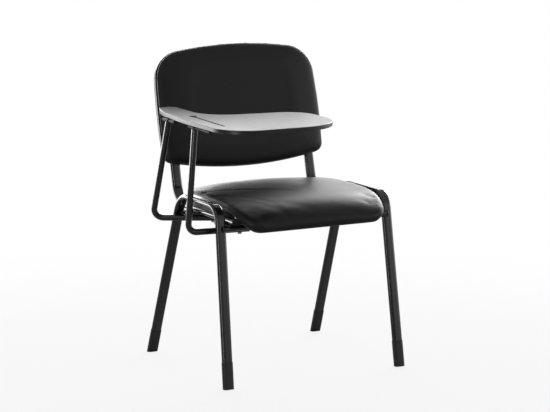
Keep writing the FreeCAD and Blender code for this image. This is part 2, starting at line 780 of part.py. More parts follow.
def arm_fixing(place, arm_solid):
    """Bolt, nut and saddle spacer at one place of an arm's run."""
    under = place - Z_AXIS * (ARM_DIAMETER / 2)
    seat = V(place.x, place.y, BEARER_BOTTOM)
    tip = seat + Z_AXIS * (NUT_HEIGHT + BOLT_TAIL)
    shank = cylinder_between(under - Z_AXIS * BOLT_HEAD_HEIGHT, tip, BOLT_DIAMETER)
    head = cylinder_between(under - Z_AXIS * BOLT_HEAD_HEIGHT, under, BOLT_HEAD_DIAMETER)
    hole = cylinder_between(under, tip + Z_AXIS * OVERRUN, BOLT_DIAMETER)
    nut = hex_prism(seat, NUT_FLATS, NUT_HEIGHT).cut(hole)
    spacer = cylinder_between(place, V(place.x, place.y, LUG_BOTTOM), SPACER_DIAMETER)
    spacer = spacer.cut(arm_solid).cut(hole)
    spacer = max(spacer.Solids, key=lambda piece: piece.CenterOfMass.z)
    return shank.fuse(head).removeSplitter(), nut, spacer


def rest_bracket(sleeve):
    """Plate on the front arm's top, with a web, that reaches in under the tablet."""
    top = V(ARM_X, FRONT_ARM_TOP_Y, ARM_TOP_Z)
    start = top - X_AXIS * (ARM_DIAMETER / 2)
    end = start + X_AXIS * REST_LENGTH
    half = Y_AXIS * (REST_WIDTH / 2)
    wire = rounded_polygon(
        [start - half, end - half, end + half, start + half],
        [REST_CORNER_RADIUS / 2, REST_CORNER_RADIUS, REST_CORNER_RADIUS, REST_CORNER_RADIUS / 2],
    )
    plate = Part.Face(wire).extrude(Z_AXIS * REST_PLATE)
    web = box_between(
        top + V(0, -REST_PLATE / 2, -REST_WEB_DEPTH),
        top + V(REST_LENGTH - ARM_DIAMETER, REST_PLATE / 2, 0),
    )
    arm = arm_bar(FRONT_ARM, ARM_DIAMETER)
    return largest(plate.fuse(web).removeSplitter().cut([arm, sleeve]))


def rest_buffers():
    """Two rubber buffers on the rest's plate."""
    height = TABLET_BOTTOM - BUFFER_GAP - REST_TOP
    places = [V(ARM_X + reach, FRONT_ARM_TOP_Y, REST_TOP) for reach in (BUFFER_NEAR, BUFFER_FAR)]
    return [cylinder_between(place, place + Z_AXIS * height, BUFFER_DIAMETER) for place in places]


def pin_bar(rear_y, front_y, diameter):
    """Round bar on the hinge axis between two places along it."""
    return cylinder_between(V(PIN_X, rear_y, PIN_Z), V(PIN_X, front_y, PIN_Z), diameter)


def hinge_sleeve(name):
    """Sleeve welded to an arm's top, without its bore."""
    middle = ARMS[name][-1].y
    return pin_bar(middle + SLEEVE_LENGTH / 2, middle - SLEEVE_LENGTH / 2, SLEEVE_DIAMETER)


def hinge_pin(name):
    """Pin pressed into a sleeve, with a head in front of the leaf's barrel."""
    rear = ARMS[name][-1].y + SLEEVE_LENGTH / 2 + PIN_TAIL
    front = barrel_span(name)[1] - BARREL_CLEARANCE
    shank = pin_bar(rear, front, PIN_DIAMETER)
    return shank.fuse(pin_bar(front, front - PIN_HEAD_HEIGHT, PIN_HEAD_DIAMETER)).removeSplitter()


def hinge_leaf(name):
    """Leaf under the tablet with its barrel round the pin."""
    rear, barrel_front = barrel_span(name)
    base = TABLET_BOTTOM - LEAF_THICKNESS
    front = leaf_front(name)
    clear_x = PIN_X + PIN_HEAD_DIAMETER / 2 + BARREL_CLEARANCE
    outline = [
        V(clear_x, front, base), V(PIN_X + LEAF_WIDTH, front, base),
        V(PIN_X + LEAF_WIDTH, rear, base), V(clear_x, rear, base),
    ]
    plate = Part.Face(rounded_polygon(outline, [LEAF_CORNER_RADIUS] * len(outline)))
    plate = plate.extrude(Z_AXIS * LEAF_THICKNESS)
    root = box_between(
        V(PIN_X, barrel_front, base), V(clear_x + LEAF_CORNER_RADIUS, rear, TABLET_BOTTOM)
    )
    barrel = pin_bar(rear, barrel_front, SLEEVE_DIAMETER)
    bore = pin_bar(
        rear + OVERRUN, barrel_front - OVERRUN, PIN_DIAMETER + 2 * BARREL_CLEARANCE
    )
    return plate.fuse([root, barrel]).removeSplitter().cut(bore)


def leaf_screw_places(name):
    """Places of a leaf's screws on the tablet's underside."""
    count = FRONT_LEAF_SCREW_COUNT if name == "front" else REAR_LEAF_SCREW_COUNT
    first = barrel_span(name)[0] - LEAF_SCREW_END
    last = leaf_front(name) + LEAF_SCREW_END
    step = (last - first) / (count - 1)
    return [V(PIN_X + LEAF_SCREW_INSET, first + k * step, TABLET_BOTTOM) for k in range(count)]


def screw(head_centre, direction, diameter, head_size, head_height, length):
    """Screw whose head lies behind a point and whose shank runs on from it."""
    head = cylinder_between(head_centre - direction * head_height, head_centre, head_size)
    shank = cylinder_between(
        head_centre - direction * head_height, head_centre + direction * length, diameter
    )
    return head.fuse(shank).removeSplitter()


def seat_screw_places():
    """Places of the seat screws under the two bearers."""
    crossbar_edge = rear_leg_y(CROSSBAR_Z) - TUBE_WIDTH / 2
    rear = crossbar_edge - SEAT_SCREW_HEAD / 2 - SEAT_SCREW_REAR_GAP
    return [
        V(side * BEARER_HALF_TRACK, y, BEARER_BOTTOM)
        for side in (RIGHT, LEFT) for y in (SEAT_SCREW_FRONT_Y, rear)
    ]


def tee_nut(place):
    """Threaded insert over one seat screw: its outer form and the bored piece."""
    top = V(place.x, place.y, SEAT_BASE_Z)
    flange = cylinder_between(top - Z_AXIS * TEE_NUT_FLANGE_HEIGHT, top, TEE_NUT_FLANGE)
    barrel = cylinder_between(top - Z_AXIS * TEE_NUT_BARREL_HEIGHT, top, TEE_NUT_BARREL)
    whole = flange.fuse(barrel).removeSplitter()
    return whole, whole.cut(cylinder_between(place, top + Z_AXIS * OVERRUN, SEAT_SCREW_DIAMETER))


def seat_fixings():
    """Seat screws, their tee nuts, and the holes and pockets cut for them."""
    screws, nuts, holes, pockets = [], [], [], []
    length = SEAT_BASE_Z - BEARER_BOTTOM
    for place in seat_screw_places():
        pocket, nut = tee_nut(place)
        screws.append(screw(
            place, Z_AXIS, SEAT_SCREW_DIAMETER, SEAT_SCREW_HEAD, SEAT_SCREW_HEAD_HEIGHT, length
        ))
        nuts.append(nut)
        pockets.append(pocket)
        holes.append(cylinder_between(
            place - Z_AXIS * OVERRUN, place + Z_AXIS * (length + OVERRUN),
            SEAT_SCREW_DIAMETER + 2 * SCREW_HOLE_CLEARANCE,
        ))
    return screws, nuts, holes, pockets


def back_fixings():
    """Screws through the shell and the uprights into the back board, and their holes."""
    shell_face = shell_rim_depth() - SHELL_DEPTH
    length = board_rear_depth() + BACK_SCREW_BITE - shell_face
    screws, holes = [], []
    for side in (RIGHT, LEFT):
        for up in (BACK_SCREW_LOW, BACK_SCREW_HIGH):
            place = back_point(side * BEARER_HALF_TRACK, up, shell_face)
            screws.append(screw(
                place, BACK_FORWARD, BACK_SCREW_DIAMETER, BACK_SCREW_HEAD,
                BACK_SCREW_HEAD_HEIGHT, length,
            ))
            holes.append(cylinder_between(
                place - BACK_FORWARD * OVERRUN, place + BACK_FORWARD * length,
                BACK_SCREW_DIAMETER + 2 * SCREW_HOLE_CLEARANCE,
            ))
    return screws, holes


def frame_nodes(upright_holes):
    """Side frames, foot caps, crossbars, and the uprights with their plugs."""
    nodes = {}
    legs = {"front": front_leg_y, "rear": rear_leg_y}
    side_solids = []
    for side, name in SIDE_NAMES.items():
        outer, bore = side_bars(side)
        side_solids.append(outer)
        nodes["side_frame_" + name] = [outer.cut(bore)]
        for place, leg in legs.items():
            nodes["foot_cap_" + place + "_" + name] = [foot_cap(side, leg)]
        points = bearer_points(side)
        inside = oval_bore(points, UPRIGHT_BEND_RADIUS, X_AXIS)
        upright = oval_bar(points, UPRIGHT_BEND_RADIUS, X_AXIS).cut([inside] + upright_holes)
        nodes["back_upright_" + name] = [upright]
        nodes["bearer_plug_" + name] = [bearer_plug(side)]
    for place, leg in legs.items():
        nodes["crossbar_" + place] = [crossbar(leg, side_solids)]
    return nodes


def upholstery_nodes():
    """Seat and back with their screws, and the holes that the uprights need."""
    seat_screws, tee_nuts, seat_holes, pockets = seat_fixings()
    back_screws, back_holes = back_fixings()
    cushion, board, pan = build_seat()
    pad, back_board, shell = build_back()
    nodes = {
        "seat_cushion": [cushion],
        "seat_board": [board.cut(pockets + seat_holes)],
        "seat_pan": [pan.cut(seat_holes)],
        "seat_screws": seat_screws,
        "seat_tee_nuts": tee_nuts,
        "back_cushion": [pad],
        "back_board": [back_board.cut(back_holes)],
        "back_shell": [shell.cut(back_holes)],
        "back_screws": back_screws,
    }
    return nodes, seat_holes + back_holes


def arm_nodes():
    """Arms with their lugs, bolts and plugs, the hinge pins, and the tablet's rest."""
    nodes = {"arm_bolts": [], "arm_nuts": [], "arm_spacers": [], "arm_plugs": []}
    for name, points in ARMS.items():
        solid = arm_bar(points, ARM_DIAMETER)
        bore = arm_bar(points, ARM_DIAMETER - 2 * ARM_WALL)
        sleeve = hinge_sleeve(name)
        pin = hinge_pin(name)
        holes = []
        for x in (OUTER_BOLT_X, INNER_BOLT_X):
            place = bolt_place(points, x)
            bolt, nut, spacer = arm_fixing(place, solid)
            nodes["arm_bolts"].append(bolt)
            nodes["arm_nuts"].append(nut)
            nodes["arm_spacers"].append(spacer)
            holes.append(cylinder_between(
                place - Z_AXIS * OVERRUN, V(place.x, place.y, BEARER_BOTTOM + OVERRUN),
                BOLT_DIAMETER + 2 * BOLT_HOLE_CLEARANCE,
            ))
        nodes["arm_tube_" + name] = [solid.cut([bore, sleeve] + holes)]
        nodes["arm_lug_" + name] = [lug(points).cut(holes)]
        nodes["arm_plugs"].append(end_plug(points[0], (points[1] - points[0]).normalize()))
        nodes["hinge_sleeve_" + name] = [sleeve.cut(pin)]
        nodes["hinge_pin_" + name] = [pin]
    top = REAR_ARM[-1]
    cap = cylinder_between(top, top + Z_AXIS * ARM_PLUG_FLANGE, ARM_DIAMETER)
    nodes["arm_plugs"].append(largest(cap.cut(hinge_sleeve("rear"))))
    nodes["tablet_rest"] = [rest_bracket(hinge_sleeve("front"))]
    nodes["rest_buffers"] = rest_buffers()
    return nodes


def tablet_nodes():
    """Tablet with its edge band, hinge leaves and screws, all of which swing up."""
    board, band = build_tablet()
    nodes = {"leaf_screws": []}
    for name in ARMS:
        screws = [
            screw(
                place - Z_AXIS * LEAF_THICKNESS, Z_AXIS, LEAF_SCREW_DIAMETER, LEAF_SCREW_HEAD,
                LEAF_SCREW_HEAD_HEIGHT, LEAF_THICKNESS + LEAF_SCREW_BITE,
            )
            for place in leaf_screw_places(name)
        ]
        nodes["leaf_screws"] += screws
        nodes["hinge_leaf_" + name] = [hinge_leaf(name).cut(screws)]
        board = board.cut(screws)
    nodes["tablet_board"] = [board]
    nodes["tablet_edge_band"] = [band]
    return nodes


def build():
    """Every node of the chair as a dictionary from its name to its solids."""
    upholstery, upright_holes = upholstery_nodes()
    nodes = frame_nodes(upright_holes)
    nodes.update(upholstery)
    nodes.update(arm_nodes())
    nodes.update(tablet_nodes())
    return nodes


def main():
    """Build the chair, set its origin and write one file for each node."""
    nodes = build()
    whole = Part.makeCompound([solid for solids in nodes.values() for solid in solids])
    box = whole.optimalBoundingBox(False, False)
    shift = V(-(box.XMin + box.XMax) / 2, -(box.YMin + box.YMax) / 2, -box.ZMin)
    os.makedirs("parts", exist_ok=True)
    for name, solids in nodes.items():
        for solid in solids:
            solid.translate(shift)
            if not solid.isValid() or solid.Volume <= 0:
                print("not valid:", name)
        shape = solids[0] if len(solids) == 1 else Part.makeCompound(solids)
        shape.exportStep("parts/" + name + ".step")
    print("nodes", len(nodes), "box", box.XLength, box.YLength, box.ZLength)
    print("shift", shift)
    print("hinge axis through", V(PIN_X, 0, PIN_Z) + shift)


main()
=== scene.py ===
"""Looks of a stacking conference chair with a folding writing tablet.

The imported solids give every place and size. This script puts creased covers on the seat
and the back, adds weld beads and the cup of the pen well, and gives each piece its finish.
"""
import json
import logging
import math
from dataclasses import dataclass, field
from enum import Enum
from typing import Optional, Union

import bmesh
import bpy
from mathutils import Matrix, Vector, noise

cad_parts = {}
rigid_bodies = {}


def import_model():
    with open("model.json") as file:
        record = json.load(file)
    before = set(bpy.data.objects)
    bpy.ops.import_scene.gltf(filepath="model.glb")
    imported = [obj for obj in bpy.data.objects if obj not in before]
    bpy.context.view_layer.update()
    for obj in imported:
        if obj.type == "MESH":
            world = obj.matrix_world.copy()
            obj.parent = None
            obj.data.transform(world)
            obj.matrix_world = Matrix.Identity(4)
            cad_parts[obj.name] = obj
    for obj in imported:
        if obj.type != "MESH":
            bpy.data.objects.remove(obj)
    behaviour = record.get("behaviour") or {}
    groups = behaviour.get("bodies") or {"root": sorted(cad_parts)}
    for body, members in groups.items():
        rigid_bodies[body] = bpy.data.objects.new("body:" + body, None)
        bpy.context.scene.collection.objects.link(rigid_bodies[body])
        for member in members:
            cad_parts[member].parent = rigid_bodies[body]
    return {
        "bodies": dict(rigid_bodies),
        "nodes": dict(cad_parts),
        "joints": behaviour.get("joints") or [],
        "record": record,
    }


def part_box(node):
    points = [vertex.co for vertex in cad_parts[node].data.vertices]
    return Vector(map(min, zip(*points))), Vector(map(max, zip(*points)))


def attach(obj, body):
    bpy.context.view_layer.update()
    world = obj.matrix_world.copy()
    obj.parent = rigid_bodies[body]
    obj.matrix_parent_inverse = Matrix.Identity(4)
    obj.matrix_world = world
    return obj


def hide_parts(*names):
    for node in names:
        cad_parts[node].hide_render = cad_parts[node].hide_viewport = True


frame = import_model()

LOG = logging.getLogger("chair")
Number = Union[int, float]
Colour = tuple[float, float, float]


class Body(Enum):
    """The two bodies that pieces ride on."""

    FRAME = "frame"
    TABLET = "tablet"


class Slot(Enum):
    """Material slots of the record."""

    FRAME = "frame_black"
    MOULDING = "moulding_black"
    COVER = "cover_black"
    PLYWOOD = "plywood"
    TABLET = "tablet_black"
    EDGE = "edge_grey"
    RUBBER = "rubber_black"
    ZINC = "zinc_steel"
    HINGE = "hinge_black"


# Shader maths


class Signal:
    """A value on a node socket that takes part in sums as a number does."""

    def __init__(self, tree: bpy.types.NodeTree, socket: bpy.types.NodeSocket) -> None:
        """Wrap an output socket.

        Args:
            tree: Node tree that holds the socket.
            socket: Output socket to wrap.
        """
        self.tree = tree
        self.socket = socket

    def _maths(self, operation: str, first: "Operand", second: "Operand") -> "Signal":
        """Add one Math node.

        Args:
            operation: The Math node's operation.
            first: Left operand.
            second: Right operand.

        Returns:
            The node's result.
        """
        node = self.tree.nodes.new("ShaderNodeMath")
        node.operation = operation
        for place, operand in enumerate((first, second)):
            if isinstance(operand, Signal):
                self.tree.links.new(operand.socket, node.inputs[place])
            else:
                node.inputs[place].default_value = float(operand)
        return Signal(self.tree, node.outputs[0])

    def __add__(self, other: "Operand") -> "Signal":
        """Sum of the two."""
        return self._maths("ADD", self, other)

    def __radd__(self, other: Number) -> "Signal":
        """Sum with a number on the left."""
        return self._maths("ADD", other, self)

    def __sub__(self, other: "Operand") -> "Signal":
        """Difference of the two."""
        return self._maths("SUBTRACT", self, other)

    def __rsub__(self, other: Number) -> "Signal":
        """Difference from a number on the left."""
        return self._maths("SUBTRACT", other, self)

    def __mul__(self, other: "Operand") -> "Signal":
        """Product of the two."""
        return self._maths("MULTIPLY", self, other)

    def __rmul__(self, other: Number) -> "Signal":
        """Product with a number on the left."""
        return self._maths("MULTIPLY", other, self)

    def __gt__(self, other: "Operand") -> "Signal":
        """One where the value is the larger, otherwise nought."""
        return self._maths("GREATER_THAN", self, other)


Operand = Union[Signal, int, float]


class Graph:
    """A node tree, with one method for every node that isn't maths."""

    def __init__(self, tree: bpy.types.NodeTree) -> None:
        """Hold the tree.

        Args:
            tree: The node tree.
        """
        self.tree = tree

    def add(self, kind: str, settings: dict, inputs: dict, output: Union[int, str] = 0) -> Signal:
        """Add a node.

        Args:
            kind: The node's type.
            settings: The node's own settings, which are set first. A ramp's stops come
                as "stops".
            inputs: Values or signals of its sockets, by name or place.
            output: The socket that is wanted, by name or place.

        Returns:
            The wanted output.
        """
        node = self.tree.nodes.new(kind)
        for name, value in settings.items():
            if name == "stops":
                self._set_stops(node.color_ramp, value)
            else:
                setattr(node, name, value)
        for name, value in inputs.items():
            if isinstance(value, Signal):
                self.tree.links.new(value.socket, node.inputs[name])
            else:
                node.inputs[name].default_value = value
        return Signal(self.tree, node.outputs[output])

    def feed(self, signal: Signal, socket: bpy.types.NodeSocket) -> None:
        """Link a signal to an input socket.

        Args:
            signal: The signal.
            socket: The input.
        """
        self.tree.links.new(signal.socket, socket)

    def step(self, value: Signal, start: float, end: float, low: float, high: float) -> Signal:
        """Smooth step of a value.

        Args:
            value: The value that goes in.
            start: Where the step starts.
            end: Where it ends.
            low: Result before it.
            high: Result after it.

        Returns:
            The stepped value.
        """
        return self.add(
            "ShaderNodeMapRange", {"interpolation_type": "SMOOTHSTEP"},
            {"Value": value, "From Min": start, "From Max": end, "To Min": low, "To Max": high},
        )

    @staticmethod
    def _set_stops(ramp: bpy.types.ColorRamp, stops: list) -> None:
        """Set a ramp's stops.

        Args:
            ramp: The ramp.
            stops: Pairs of a place from 0 to 1 and a colour or a grey level.
        """
        while len(ramp.elements) < len(stops):
            ramp.elements.new(1.0)
        for element, (place, level) in zip(ramp.elements, stops):
            element.position = place
            colour = (level,) * 3 if isinstance(level, (int, float)) else level
            element.color = (*colour, 1.0)


class Shader(Graph):
    """A material's node tree round its Principled shader."""

    def __init__(self, name: str) -> None:
        """Make the material with its Principled shader.

        Args:
            name: Name of the material.
        """
        self.material = bpy.data.materials.new(name)
        self.material.use_nodes = True
        super().__init__(self.material.node_tree)
        self.surface = self.tree.nodes["Principled BSDF"]
        self.place = self.add("ShaderNodeTexCoord", {}, {}, "Object")

    def noise(self, scale: float, detail: float = 3.0, stretch: Optional[Signal] = None) -> Signal:
        """Noise from 0 to 1.

        Args:
            scale: Waves per metre.
            detail: Number of finer octaves.
            stretch: Place vector, where it isn't the plain one.

        Returns:
            The noise.
        """
        return self.add(
            "ShaderNodeTexNoise", {},
            {"Vector": stretch or self.place, "Scale": scale, "Detail": detail},
        )

    def stretched(self, factors: tuple[float, float, float]) -> Signal:
        """Place vector drawn out along the axes.

        Args:
            factors: Multiplier of each axis.

        Returns:
            The stretched vector.
        """
        return self.add(
            "ShaderNodeVectorMath", {"operation": "MULTIPLY"}, {0: self.place, 1: factors}
        )

    def ramp(self, value: Signal, stops: list) -> Signal:
        """Value or colour through a ramp.

        Args:
            value: The value that goes in.
            stops: Pairs of a place and a colour or a grey level.

        Returns:
            The ramp's colour.
        """
        return self.add("ShaderNodeValToRGB", {"stops": stops}, {0: value})

    def mix(
        self, amount: Signal, first: Union[Signal, Colour], second: Union[Signal, Colour],
    ) -> Signal:
        """Mix of two colours.

        Args:
            amount: Share of the second colour.
            first: First colour.
            second: Second colour.

        Returns:
            The mixed colour.
        """
        def whole(colour: Union[Signal, Colour]) -> Union[Signal, tuple]:
            """Colour with its alpha, or the signal as it is."""
            return colour if isinstance(colour, Signal) else (*colour, 1.0)

        return self.add(
            "ShaderNodeMix", {"data_type": "RGBA"},
            {0: amount, 6: whole(first), 7: whole(second)}, 2,
        )

    def finish(
        self, colour: Union[Signal, Colour], roughness: Operand, height: Optional[Signal] = None,
        relief: float = 0.0, **constants: float,
    ) -> bpy.types.Material:
        """Connect the shader.

        Args:
            colour: Base colour.
            roughness: Roughness.
            height: Height from 0 to 1 of the relief.
            relief: Depth of the relief in metres.
            **constants: Values of the shader's other sockets, with spaces as underscores.

        Returns:
            The finished material.
        """
        for name, value in (("Base Color", colour), ("Roughness", roughness)):
            if isinstance(value, Signal):
                self.tree.links.new(value.socket, self.surface.inputs[name])
            else:
                self.surface.inputs[name].default_value = (
                    (*value, 1.0) if isinstance(value, tuple) else value
                )
        if height is not None:
            bump = self.add("ShaderNodeBump", {}, {"Height": height, "Distance": relief})
            self.tree.links.new(bump.socket, self.surface.inputs["Normal"])
        for name, value in constants.items():
            self.surface.inputs[name.replace("_", " ")].default_value = value
        return self.material


# Finishes


@dataclass(frozen=True)
class GlossPaint:
    """Black stoved paint of the tubes, with a faint orange peel."""

    name: str = "gloss_paint"
    colour: Colour = (0.0065, 0.0065, 0.0068)
    dust: Colour = (0.015, 0.015, 0.0155)
    roughness: float = 0.16
    peel: float = 0.00003
    specular: float = 0.45
    coat: float = 0.8

    def make(self) -> bpy.types.Material:
        """Material of this finish."""
        shader = Shader(self.name)
        cloud = shader.noise(38.0, 4.0)
        haze = shader.ramp(cloud, [(0.35, 0.0), (0.75, 1.0)])
        colour = shader.mix(haze * 0.5, self.colour, self.dust)
        peel = shader.noise(420.0, 2.0) + 0.35 * shader.noise(1900.0, 1.0)
        roughness = self.roughness + 0.06 * haze + 0.03 * shader.noise(900.0, 1.0)
        return shader.finish(
            colour, roughness, peel, self.peel, Specular_IOR_Level=self.specular,
            Coat_Weight=self.coat,
        )


@dataclass(frozen=True)
class FauxLeather:
    """Smooth black coated cloth with a fine pebble grain."""

    name: str = "faux_leather"
    colour: Colour = (0.0075, 0.0075, 0.0078)
    worn: Colour = (0.0130, 0.0128, 0.0131)
    roughness: float = 0.36
    grain: float = 0.00016
    pebbles: float = 620.0
    specular: float = 0.28

    def make(self) -> bpy.types.Material:
        """Material of this finish."""
        shader = Shader(self.name)
        warp = shader.noise(260.0, 2.0)
        pebble = shader.add(
            "ShaderNodeTexVoronoi", {"feature": "SMOOTH_F1"},
            {"Vector": shader.place, "Scale": self.pebbles, "Smoothness": 0.7, "Randomness": 0.9},
            "Distance",
        )
        pores = shader.noise(2100.0, 1.0)
        cloud = shader.ramp(shader.noise(9.0, 4.0), [(0.32, 0.0), (0.72, 1.0)])
        colour = shader.mix(0.55 * cloud + 0.30 * warp, self.colour, self.worn)
        height = pebble + 0.30 * warp + 0.20 * pores
        roughness = self.roughness + 0.07 * cloud + 0.06 * pebble
        return shader.finish(
            colour, roughness, height, self.grain, Specular_IOR_Level=self.specular,
        )


@dataclass(frozen=True)
class Moulding:
    """Black moulded plastic with a spark-eroded texture."""

    name: str = "moulded_plastic"
    colour: Colour = (0.0130, 0.0130, 0.0135)
    scuffed: Colour = (0.034, 0.034, 0.035)
    roughness: float = 0.44
    texture: float = 0.00010
    scuffs: float = 0.5

    def make(self) -> bpy.types.Material:
        """Material of this finish."""
        shader = Shader(self.name)
        texture = shader.noise(1300.0, 2.0)
        cloud = shader.ramp(shader.noise(24.0, 5.0), [(0.45, 0.0), (0.80, 1.0)])
        streaks = shader.ramp(
            shader.noise(60.0, 4.0, shader.stretched((1.0, 1.0, 0.16))), [(0.58, 0.0), (0.72, 1.0)]
        )
        colour = shader.mix(self.scuffs * (0.6 * cloud + 0.4 * streaks), self.colour, self.scuffed)
        roughness = self.roughness + 0.10 * texture + 0.08 * streaks
        return shader.finish(colour, roughness, texture, self.texture)


@dataclass(frozen=True)
class TabletLaminate:
    """Laminate of the writing board, rubbed smooth by use, with painted shade: near black below its
    top face, in the pen groove and the well.
    """

    top: float
    name: str = "tablet_laminate"
    colour: Colour = (0.125, 0.125, 0.127)
    rubbed: Colour = (0.160, 0.160, 0.163)
    # Near-black colour painted below the top face as shade in the pen groove and the well.
    recess_shade: Colour = (0.007, 0.007, 0.007)
    shade_depth: float = 0.0004
    roughness: float = 0.40
    texture: float = 0.00004

    def make(self) -> bpy.types.Material:
        """Material of this finish."""
        shader = Shader(self.name)
        skin = shader.noise(1600.0, 2.0)
        rub = shader.ramp(shader.noise(7.0, 4.0), [(0.38, 0.0), (0.70, 1.0)])
        hairlines = shader.noise(210.0, 3.0, shader.stretched((1.0, 0.05, 1.0)))
        fine = shader.ramp(hairlines, [(0.60, 0.0), (0.66, 1.0)])
        face = shader.mix(0.5 * rub + 0.25 * fine, self.colour, self.rubbed)
        height = shader.add("ShaderNodeSeparateXYZ", {}, {0: shader.place}, 2)
        # Painted shade: every face below the top face (pen groove, well) turns near black and
        # rougher.
        shaded_recess = 1.0 - (height > self.top - self.shade_depth)
        colour = shader.mix(shaded_recess, face, self.recess_shade)
        roughness = self.roughness + 0.06 * rub + 0.05 * fine + 0.04 * skin + 0.20 * shaded_recess
        return shader.finish(colour, roughness, skin, self.texture)


@dataclass(frozen=True)
class EdgeBanding:
    """Grey-black plastic edging, smoother than the mouldings."""

    name: str = "edge_banding"
    colour: Colour = (0.011, 0.011, 0.0115)
    rubbed: Colour = (0.026, 0.026, 0.027)
    roughness: float = 0.30
    texture: float = 0.00005

    def make(self) -> bpy.types.Material:
        """Material of this finish."""
        shader = Shader(self.name)
        lines = shader.noise(90.0, 2.0, shader.stretched((0.2, 0.2, 6.0)))
        dents = shader.ramp(shader.noise(120.0, 3.0), [(0.60, 0.0), (0.78, 1.0)])
        colour = shader.mix(0.4 * lines + 0.4 * dents, self.colour, self.rubbed)
        roughness = self.roughness + 0.10 * lines + 0.12 * dents
        return shader.finish(colour, roughness, lines, self.texture)


@dataclass(frozen=True)
class Rubber:
    """Matt black rubber."""

    name: str = "black_rubber"
    colour: Colour = (0.014, 0.014, 0.014)
    bloom: Colour = (0.034, 0.033, 0.032)
    roughness: float = 0.62
    texture: float = 0.00012

    def make(self) -> bpy.types.Material:
        """Material of this finish."""
        shader = Shader(self.name)
        bloom = shader.ramp(shader.noise(70.0, 4.0), [(0.42, 0.0), (0.75, 1.0)])
        texture = shader.noise(1000.0, 2.0)
        colour = shader.mix(0.7 * bloom, self.colour, self.bloom)
        return shader.finish(colour, self.roughness + 0.12 * bloom, texture, self.texture)


@dataclass(frozen=True)
class Plywood:
    """Birch plywood with its grain along the seat."""

    name: str = "birch_plywood"
    light: Colour = (0.58, 0.42, 0.26)
    dark: Colour = (0.36, 0.22, 0.115)
    roughness: float = 0.62
    relief: float = 0.00012

    def make(self) -> bpy.types.Material:
        """Material of this finish."""
        shader = Shader(self.name)
        drawn = shader.stretched((9.0, 0.55, 9.0))
        rings = shader.add(
            "ShaderNodeTexWave", {"wave_type": "RINGS", "rings_direction": "Y"},
            {"Vector": drawn, "Scale": 1.6, "Distortion": 7.0, "Detail": 3.0},
        )
        pores = shader.noise(240.0, 3.0, shader.stretched((1.0, 0.04, 1.0)))
        grain = shader.ramp(0.6 * rings + 0.4 * pores, [(0.22, 0.0), (0.78, 1.0)])
        colour = shader.mix(grain, self.dark, self.light)
        return shader.finish(colour, self.roughness - 0.10 * grain, pores, self.relief)


@dataclass(frozen=True)
class ZincSteel:
    """Zinc plated steel of the fixings."""

    name: str = "zinc_plate"
    bright: Colour = (0.62, 0.63, 0.65)
    dull: Colour = (0.40, 0.40, 0.39)
    roughness: float = 0.28
    texture: float = 0.00003

    def make(self) -> bpy.types.Material:
        """Material of this finish."""
        shader = Shader(self.name)
        bloom = shader.ramp(shader.noise(180.0, 4.0), [(0.40, 0.0), (0.72, 1.0)])
        marks = shader.noise(900.0, 2.0, shader.stretched((1.0, 0.2, 1.0)))
        colour = shader.mix(0.6 * bloom + 0.2 * marks, self.bright, self.dull)
        return shader.finish(
            colour, self.roughness + 0.22 * bloom, marks, self.texture, Metallic=1.0,
        )


@dataclass(frozen=True)
class WeldMetal:
    """Weld bead under the same black paint."""

    name: str = "painted_weld"
    colour: Colour = (0.0100, 0.0100, 0.0105)
    crests: Colour = (0.026, 0.026, 0.027)
    roughness: float = 0.30
    relief: float = 0.00025

    def make(self) -> bpy.types.Material:
        """Material of this finish."""
        shader = Shader(self.name)
        ripple = shader.noise(520.0, 2.0)
        colour = shader.mix(ripple * 0.5, self.colour, self.crests)
        return shader.finish(colour, self.roughness + 0.12 * ripple, ripple, self.relief)


# Pieces


def smooth_mesh(piece: bpy.types.Object) -> None:
    """Shade a piece smooth.

    Args:
        piece: The object.
    """
    for polygon in piece.data.polygons:
        polygon.use_smooth = True


def dress(
    piece: bpy.types.Object, finish: bpy.types.Material, body: Body,
) -> bpy.types.Object:
    """Give a new piece its finish and body.

    Args:
        piece: The object.
        finish: Its material.
        body: The body that it rides on.

    Returns:
        The same object.
    """
    piece.data.materials.clear()
    piece.data.materials.append(finish)
    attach(piece, body.value)
    LOG.info("%s on %s, %d faces", piece.name, body.value, len(piece.data.polygons))
    return piece


def new_piece(name: str, builder: bmesh.types.BMesh) -> bpy.types.Object:
    """Object from a bmesh, which is freed.

    Args:
        name: Name of the object.
        builder: Its mesh.

    Returns:
        The object, linked to the scene.
    """
    mesh = bpy.data.meshes.new(name)
    builder.to_mesh(mesh)
    builder.free()
    piece = bpy.data.objects.new(name, mesh)
    bpy.context.scene.collection.objects.link(piece)
    return piece


@dataclass(frozen=True)
class Crease:
    """A long soft wrinkle in a cover, from one place to another on it."""

    start: tuple[float, float]
    end: tuple[float, float]
    depth: float
    width: float
    bow: float
    fade: float = 0.7
    crest: float = 0.8

    def dip(self, across: float, along: float) -> float:
        """How far the cover dips at a place.

        Args:
            across: First coordinate of the place.
            along: Second coordinate of the place.

        Returns:
            Depth in metres, less than nought on the crest beside the wrinkle.
        """
        run = Vector(self.end) - Vector(self.start)
        from_start = Vector((across, along)) - Vector(self.start)
        share = from_start.dot(run) / run.length_squared
        if not 0.0 < share < 1.0:
            return 0.0
        side = (run.x * from_start.y - run.y * from_start.x) / run.length
        side -= self.bow * 4.0 * share * (1.0 - share)
        fade = math.sin(math.pi * share) ** self.fade
        reach = side / self.width
        return self.depth * fade * (1.0 - self.crest * reach * reach) * math.exp(-reach * reach)


